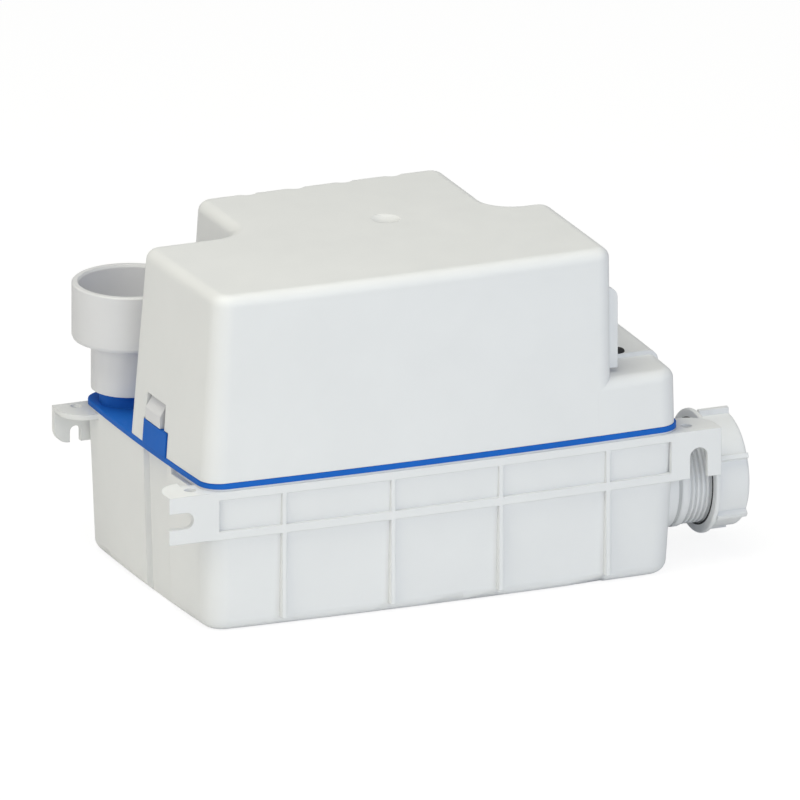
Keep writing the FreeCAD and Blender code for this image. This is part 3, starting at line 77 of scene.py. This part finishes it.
def noise(tree, vector, scale, detail=2.0, rough=0.5):
    node = add(tree, "ShaderNodeTexNoise", Scale=scale, Detail=detail, Roughness=rough)
    tree.links.new(vector, node.inputs["Vector"])
    return node.outputs["Fac"]


def span(tree, value, low, high):
    """Value from 0 to 1 turned into low to high."""
    node = tree.nodes.new("ShaderNodeMapRange")
    node.inputs["From Min"].default_value = 0.3
    node.inputs["From Max"].default_value = 0.7
    node.inputs["To Min"].default_value = low
    node.inputs["To Max"].default_value = high
    tree.links.new(value, node.inputs["Value"])
    return node.outputs["Result"]


def mix_colours(tree, fac, first, second):
    node = tree.nodes.new("ShaderNodeMix")
    node.data_type = "RGBA"
    ends = [socket for socket in node.inputs if socket.type == "RGBA"]
    ends[0].default_value = (*first, 1)
    ends[1].default_value = (*second, 1)
    tree.links.new(fac, node.inputs["Factor"])
    return [s for s in node.outputs if s.type == "RGBA"][0]


def bump(tree, heights, soft_edge):
    """Chain of bumps over an optional softened edge; heights are (value, distance)."""
    normal = None
    if soft_edge:
        edge = tree.nodes.new("ShaderNodeBevel")
        edge.samples = 6
        edge.inputs["Radius"].default_value = soft_edge
        normal = edge.outputs["Normal"]
    for value, distance in heights:
        node = add(tree, "ShaderNodeBump", Strength=1.0, Distance=distance)
        tree.links.new(value, node.inputs["Height"])
        if normal is not None:
            tree.links.new(normal, node.inputs["Normal"])
        normal = node.outputs["Normal"]
    return normal


def moulded(name, colour, shade, rough, grain=0.00002, soft_edge=0.0005, sheen=0.45):
    """Injection-moulded plastic: cloudy tint, spark-eroded grain and rubbed patches."""
    material, tree, shader = new_material(name)
    vector = place(tree)
    clouds = noise(tree, vector, 28.0, 3.0, 0.55)
    tint = span(tree, clouds, 0.0, 1.0)
    colour_out = mix_colours(tree, tint, colour, shade)
    tree.links.new(colour_out, shader.inputs["Base Color"])
    rubbed = noise(tree, vector, 95.0, 4.0, 0.6)
    tree.links.new(span(tree, rubbed, rough - 0.06, rough + 0.08), shader.inputs["Roughness"])
    fine = noise(tree, vector, 2600.0, 2.0, 0.5)
    waves = noise(tree, vector, 16.0, 1.0, 0.4)
    normal = bump(tree, [(waves, 0.00006), (fine, grain)], soft_edge)
    tree.links.new(normal, shader.inputs["Normal"])
    shader.inputs["Specular IOR Level"].default_value = sheen
    return material


def metal(name, colour, shade, rough, stretch, soft_edge=0.0002):
    """Machined or cast metal with marks drawn out along one direction."""
    material, tree, shader = new_material(name)
    vector = place(tree, stretch)
    marks = noise(tree, vector, 900.0, 3.0, 0.6)
    colour_out = mix_colours(tree, span(tree, marks, 0.0, 1.0), colour, shade)
    tree.links.new(colour_out, shader.inputs["Base Color"])
    shader.inputs["Metallic"].default_value = 1.0
    tree.links.new(span(tree, marks, rough - 0.08, rough + 0.1), shader.inputs["Roughness"])
    tree.links.new(bump(tree, [(marks, 0.00002)], soft_edge), shader.inputs["Normal"])
    return material


def banded(name, colour, shade, rough, axis, pitch, depth, metallic):
    """Even bands across one axis, such as stacked sheets or turns of wire."""
    material, tree, shader = new_material(name)
    vector = place(tree)
    wave = add(tree, "ShaderNodeTexWave", Scale=math.tau / (20.0 * pitch), Distortion=0.0)
    wave.wave_type = "BANDS"
    wave.bands_direction = axis
    tree.links.new(vector, wave.inputs["Vector"])
    spots = noise(tree, vector, 500.0, 3.0, 0.6)
    colour_out = mix_colours(tree, span(tree, spots, 0.0, 1.0), colour, shade)
    tree.links.new(colour_out, shader.inputs["Base Color"])
    shader.inputs["Metallic"].default_value = metallic
    tree.links.new(span(tree, spots, rough - 0.08, rough + 0.1), shader.inputs["Roughness"])
    tree.links.new(bump(tree, [(wave.outputs["Fac"], depth)], 0.0), shader.inputs["Normal"])
    return material


materials = {
    "grey_plastic": moulded("white moulding", (0.792, 0.802, 0.812), (0.773, 0.783, 0.793), 0.46,
                             sheen=0.32),
    "warm_grey_plastic": moulded("pale grey moulding", (0.75, 0.755, 0.785), (0.715, 0.72, 0.75),
                                 0.44, sheen=0.35),
    "blue_plastic": moulded("blue moulding", (0.017, 0.138, 0.56), (0.015, 0.125, 0.51), 0.42,
                             sheen=0.05),
    "seal_rubber": moulded("black rubber", (0.022, 0.022, 0.024), (0.035, 0.035, 0.036), 0.62,
                           0.00004, 0.0002, 0.3),
    "pump_plastic": moulded("black glass-filled moulding", (0.03, 0.03, 0.033),
                            (0.045, 0.045, 0.048), 0.5, 0.00004),
    "float_plastic": moulded("natural moulding", (0.70, 0.69, 0.65), (0.64, 0.63, 0.59), 0.38),
    "steel": metal("turned steel", (0.56, 0.56, 0.57), (0.46, 0.46, 0.47), 0.3, (1, 1, 9)),
    "lamination": banded("sheet stack", (0.30, 0.30, 0.31), (0.20, 0.19, 0.19), 0.45, "Z",
                         0.0005, 0.0001, 0.9),
    "copper_wire": banded("enamelled wire", (0.52, 0.17, 0.07), (0.42, 0.12, 0.05), 0.3, "Y",
                          0.0008, 0.0002, 0.85),
    "bracket_metal": metal("cast zinc", (0.58, 0.59, 0.60), (0.50, 0.50, 0.51), 0.42, (1, 1, 1)),
    "switch_plastic": moulded("black moulding", (0.028, 0.028, 0.03), (0.04, 0.04, 0.043), 0.45),
    "terminal_plastic": moulded("cream moulding", (0.72, 0.70, 0.62), (0.66, 0.64, 0.57), 0.42),
    "bobbin_plastic": moulded("nylon moulding", (0.58, 0.50, 0.34), (0.52, 0.44, 0.30), 0.46),
}


def dress(obj, slot_name):
    obj.data.materials.clear()
    obj.data.materials.append(materials[slot_name])


for entry in frame["record"]["subparts"]:
    dress(nodes[entry["node"]], entry["material_slot"])
nodes["spigot_seal"].data.materials.clear()
nodes["spigot_seal"].data.materials.append(
    moulded("grey rubber", (0.52, 0.53, 0.54), (0.46, 0.47, 0.48), 0.55, 0.00004, 0.0002, 0.3))


# Mesh helpers


def mesh_object(name, build, slot_name, body):
    """Object made by a function that fills a bmesh, in a material slot, riding on a body."""
    shape = bmesh.new()
    build(shape)
    bmesh.ops.recalc_face_normals(shape, faces=shape.faces)
    mesh = bpy.data.meshes.new(name)
    shape.to_mesh(mesh)
    shape.free()
    obj = bpy.data.objects.new(name, mesh)
    bpy.context.scene.collection.objects.link(obj)
    for polygon in mesh.polygons:
        polygon.use_smooth = True
    mesh.set_sharp_from_angle(angle=math.radians(38))
    dress(obj, slot_name)
    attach(obj, body)
    return obj


def ring_grid(shape, rings):
    """Closed tube of faces through rings of points, the last ring joined to the first."""
    rows = [[shape.verts.new(point) for point in ring] for ring in rings]
    count = len(rows[0])
    for row, following in zip(rows, rows[1:] + rows[:1]):
        for i in range(count):
            j = (i + 1) % count
            shape.faces.new((row[i], row[j], following[j], following[i]))


# Threaded spigot

SPIGOT_Y, SPIGOT_Z = -38.0, 36.3
SPIGOT_BORE = 20.2
TAIL_START, TAIL_RADIUS = 108.5, 22.0
COLLAR_START, COLLAR_END, COLLAR_RADIUS = 119.0, 123.0, 23.6
THREAD_START, THREAD_END = 123.6, 143.8
CREST, ROOT, PITCH = 22.9, 21.45, 2.31
MOUTH_RADIUS, MOUTH_DEPTH = 21.8, 3.0
SIDES = 120
THREAD_STEPS = 126


def thread_radius(x, turn):
    """Radius of the helical thread at a place along it."""
    place_in_pitch = ((x - THREAD_START) / PITCH - turn / math.tau) % 1.0
    ramp = abs(2.0 * place_in_pitch - 1.0)
    height = min(max((ramp - 0.3) / 0.34, 0.0), 1.0)
    run_in = max(0.0, (x - THREAD_START) / 1.2)
    run_out = max(0.0, (THREAD_END - 0.6 - x) / 0.8)
    fade = min(1.0, run_in, run_out)
    return ROOT + (CREST - ROOT) * height * fade


def circle_x(x, radius_of):
    ring = []
    for side in range(SIDES):
        turn = math.tau * side / SIDES
        radius = radius_of(turn)
        ring.append(Vector((x, SPIGOT_Y + radius * math.cos(turn),
                            SPIGOT_Z + radius * math.sin(turn))) * MM)
    return ring


def build_spigot(shape):
    rings = []
    edge = COLLAR_RADIUS - 0.2
    plain = [(TAIL_START, SPIGOT_BORE), (TAIL_START, TAIL_RADIUS), (COLLAR_START, TAIL_RADIUS),
             (COLLAR_START, CREST), (COLLAR_START + 0.3, edge),
             (COLLAR_START + 0.8, COLLAR_RADIUS), (COLLAR_END - 0.8, COLLAR_RADIUS),
             (COLLAR_END - 0.3, edge), (COLLAR_END, CREST), (COLLAR_END + 0.1, ROOT),
             (THREAD_START, ROOT)]
    for x, radius in plain:
        rings.append(circle_x(x, lambda turn, r=radius: r))
    for step in range(1, THREAD_STEPS + 1):
        x = THREAD_START + (THREAD_END - THREAD_START) * step / THREAD_STEPS
        rings.append(circle_x(x, lambda turn, at=x: thread_radius(at, turn)))
    for x, radius in [(THREAD_END, MOUTH_RADIUS), (THREAD_END - MOUTH_DEPTH, SPIGOT_BORE)]:
        rings.append(circle_x(x, lambda turn, r=radius: r))
    ring_grid(shape, rings)


spigot = mesh_object("threaded_spigot", build_spigot, "grey_plastic", "tank_body")
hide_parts("side_spigot")


# Black ring in the nut's mouth: painted shade for the shadow inside the nut's counterbore, not a
# rubber part

NUT_BACK = 133.6
NUT_BORE = 23.25


# Profile of the black ring just inside the nut's back face, painted shade for the dark gap there
def build_mouth_shade_ring(shape):
    profile = [(NUT_BACK + 0.2, NUT_BORE + 0.1), (NUT_BACK - 0.25, NUT_BORE + 0.15),
               (NUT_BACK - 0.35, NUT_BORE + 0.5), (NUT_BACK - 0.3, NUT_BORE + 0.9),
               (NUT_BACK + 0.2, NUT_BORE + 1.0)]
    ring_grid(shape, [circle_x(x, lambda turn, r=radius: r) for x, radius in profile])


# Painted shade: a black ring, riding on the nut, put where the nut's counterbore only holds
# shadow
mesh_object("nut_mouth_shade_ring", build_mouth_shade_ring, "seal_rubber", "nut")


# Leads under the hood

LEAD_RADIUS = 0.9
LEADS = {
    "lead_supply_to_switch": ("seal_rubber", [
        (77.0, -58.7, 75.6), (72.0, -59.2, 75.4), (64.0, -62.5, 73.6), (40.0, -66.4, 72.0),
        (-20.0, -66.7, 72.0), (-76.0, -66.0, 72.0), (-95.0, -64.4, 75.0), (-101.0, -62.0, 84.0),
        (-101.5, -57.2, 92.0)]),
    "lead_switch_to_coil": ("seal_rubber", [
        (-97.6, -57.2, 92.0), (-97.4, -61.4, 86.0), (-92.0, -63.6, 77.5), (-76.0, -65.6, 74.3),
        (-20.0, -66.7, 74.2), (20.0, -66.2, 74.2), (42.0, -61.0, 76.0), (55.0, -55.5, 82.0),
        (57.5, -51.0, 90.0)]),
    "lead_neutral_to_coil": ("blue_plastic", [
        (77.0, -49.7, 75.6), (69.0, -50.0, 75.3), (64.5, -51.6, 78.5), (62.2, -51.5, 82.5),
        (58.8, -51.0, 86.0)]),
    "lead_alarm_common": ("terminal_plastic", [
        (-58.0, -5.0, 99.5), (-57.6, -0.6, 96.0), (-53.0, 3.2, 82.0), (-45.0, 5.0, 74.0),
        (-30.0, 6.0, 71.9), (50.0, 6.0, 71.9), (66.0, -3.0, 72.6), (77.0, -16.0, 76.5),
        (88.0, -29.0, 83.0), (93.0, -37.0, 87.0), (94.0, -41.0, 89.6)]),
    "lead_alarm_switched": ("warm_grey_plastic", [
        (-58.0, -5.0, 95.0), (-57.4, -0.8, 91.0), (-52.0, 2.6, 79.0), (-43.0, 3.6, 72.9),
        (-30.0, 3.9, 71.9), (50.0, 3.9, 71.9), (64.5, -5.0, 72.6), (75.5, -18.0, 76.5),
        (87.0, -31.0, 83.0), (92.0, -38.5, 87.0), (93.6, -43.2, 89.6)]),
}


def smooth_path(points, steps=6):
    """Catmull-Rom curve through the points."""
    knots = [Vector(point) for point in points]
    knots = [2 * knots[0] - knots[1]] + knots + [2 * knots[-1] - knots[-2]]
    path = []
    for a, b, c, d in zip(knots, knots[1:], knots[2:], knots[3:]):
        for step in range(steps):
            t = step / steps
            path.append(0.5 * (2 * b + (c - a) * t + (2 * a - 5 * b + 4 * c - d) * t * t
                               + (3 * b - a - 3 * c + d) * t ** 3))
    path.append(knots[-2])
    return path


def tube(shape, path, radius, sides=10):
    """Round tube along a path, closed at both ends."""
    side = (path[1] - path[0]).orthogonal().normalized()
    rows = []
    for i, point in enumerate(path):
        along = (path[min(i + 1, len(path) - 1)] - path[max(i - 1, 0)]).normalized()
        side = (side - along * side.dot(along)).normalized()
        across = along.cross(side)
        row = []
        for k in range(sides):
            turn = math.tau * k / sides
            spoke = side * math.cos(turn) + across * math.sin(turn)
            row.append(shape.verts.new((point + spoke * radius) * MM))
        rows.append(row)
    for row, following in zip(rows, rows[1:]):
        for k in range(sides):
            j = (k + 1) % sides
            shape.faces.new((row[k], row[j], following[j], following[k]))
    shape.faces.new(rows[0][::-1])
    shape.faces.new(rows[-1])


def lead(name, slot_name, points):
    path = smooth_path(points)
    mesh_object(name, lambda shape: tube(shape, path, LEAD_RADIUS), slot_name, "tank_body")


for lead_name, (lead_slot, lead_points) in LEADS.items():
    lead(lead_name, lead_slot, lead_points)


# Stage

FLOOR_REACH = 6.0
FLOOR_DROP = 0.0002
FLOOR_GLOW = 1.12
FLOOR_GLOW_SHARE = 0.78
WORLD_COLOUR = (0.83, 0.85, 0.95, 1)
WORLD_STRENGTH = 0.27


def floor_material():
    material, tree, shader = new_material("studio floor")
    shader.inputs["Roughness"].default_value = 0.9
    shader.inputs["Base Color"].default_value = (0.9, 0.9, 0.9, 1)
    shader.inputs["Specular IOR Level"].default_value = 0.1
    glow = tree.nodes.new("ShaderNodeEmission")
    glow.inputs["Color"].default_value = (1, 1, 1, 1)
    glow.inputs["Strength"].default_value = FLOOR_GLOW
    path = tree.nodes.new("ShaderNodeLightPath")
    share = tree.nodes.new("ShaderNodeMath")
    share.operation = "MULTIPLY"
    share.inputs[1].default_value = FLOOR_GLOW_SHARE
    tree.links.new(path.outputs["Is Camera Ray"], share.inputs[0])
    blend = tree.nodes.new("ShaderNodeMixShader")
    tree.links.new(share.outputs[0], blend.inputs["Fac"])
    tree.links.new(shader.outputs[0], blend.inputs[1])
    tree.links.new(glow.outputs[0], blend.inputs[2])
    output = tree.nodes["Material Output"]
    tree.links.new(blend.outputs[0], output.inputs["Surface"])
    return material


def build_floor():
    mesh = bpy.data.meshes.new("floor")
    signs = [(-1, -1), (1, -1), (1, 1), (-1, 1)]
    corners = [(x * FLOOR_REACH, y * FLOOR_REACH, -FLOOR_DROP) for x, y in signs]
    mesh.from_pydata(corners, [], [(0, 1, 2, 3)])
    obj = bpy.data.objects.new("floor", mesh)
    bpy.context.scene.collection.objects.link(obj)
    mesh.materials.append(floor_material())


def build_world():
    world = bpy.data.worlds.new("studio")
    bpy.context.scene.world = world
    world.use_nodes = True
    tree = world.node_tree
    light = tree.nodes["Background"]
    light.inputs["Color"].default_value = WORLD_COLOUR
    light.inputs["Strength"].default_value = WORLD_STRENGTH
    white = tree.nodes.new("ShaderNodeBackground")
    white.inputs["Color"].default_value = (1, 1, 1, 1)
    white.inputs["Strength"].default_value = 1.0
    path = tree.nodes.new("ShaderNodeLightPath")
    blend = tree.nodes.new("ShaderNodeMixShader")
    tree.links.new(path.outputs["Is Camera Ray"], blend.inputs["Fac"])
    tree.links.new(light.outputs[0], blend.inputs[1])
    tree.links.new(white.outputs[0], blend.inputs[2])
    tree.links.new(blend.outputs[0], tree.nodes["World Output"].inputs["Surface"])


def area_light(name, place_at, aim, size, power, colour):
    data = bpy.data.lights.new(name, "AREA")
    data.shape = "RECTANGLE"
    data.size, data.size_y = size
    data.energy = power
    data.color = colour
    obj = bpy.data.objects.new(name, data)
    obj.location = place_at
    obj.rotation_euler = (Vector(aim) - Vector(place_at)).to_track_quat("-Z", "Y").to_euler()
    bpy.context.scene.collection.objects.link(obj)


build_floor()
build_world()
area_light("front", (0.25, -1.5, 0.55), (0.0, 0.0, 0.06), (1.6, 1.0), 8.9, (0.87, 0.94, 1.02))
area_light("above", (-0.3, -0.2, 1.5), (0.0, 0.0, 0.08), (1.2, 1.2), 15.0, (1.0, 0.98, 0.84))
area_light("left", (-1.4, -0.5, 0.7), (0.0, 0.0, 0.08), (1.0, 1.0), 5.7, (1.0, 0.97, 0.83))


# Camera

AZIMUTH, ELEVATION = math.radians(-22.75), math.radians(18.06)
VIEW_WIDTH = 0.35556
AIM_HEIGHT, AIM_RIGHT, AIM_DOWN = 0.077, 0.008, 0.00218
DISTANCE = 3.0


def build_camera():
    back = Vector((math.sin(AZIMUTH) * math.cos(ELEVATION),
                   -math.cos(AZIMUTH) * math.cos(ELEVATION), math.sin(ELEVATION)))
    right = Vector((math.cos(AZIMUTH), math.sin(AZIMUTH), 0.0))
    up = back.cross(right)
    data = bpy.data.cameras.new("camera")
    data.type = "ORTHO"
    data.ortho_scale = VIEW_WIDTH
    data.clip_start, data.clip_end = 0.01, 50.0
    target = Vector((0, 0, AIM_HEIGHT)) + right * AIM_RIGHT - up * AIM_DOWN
    obj = bpy.data.objects.new("camera", data)
    obj.rotation_mode = "QUATERNION"
    obj.rotation_quaternion = Matrix((right, up, back)).transposed().to_quaternion()
    obj.location = target + back * DISTANCE
    bpy.context.scene.collection.objects.link(obj)
    bpy.context.scene.camera = obj


build_camera()
bpy.context.scene.view_settings.view_transform = "Standard"
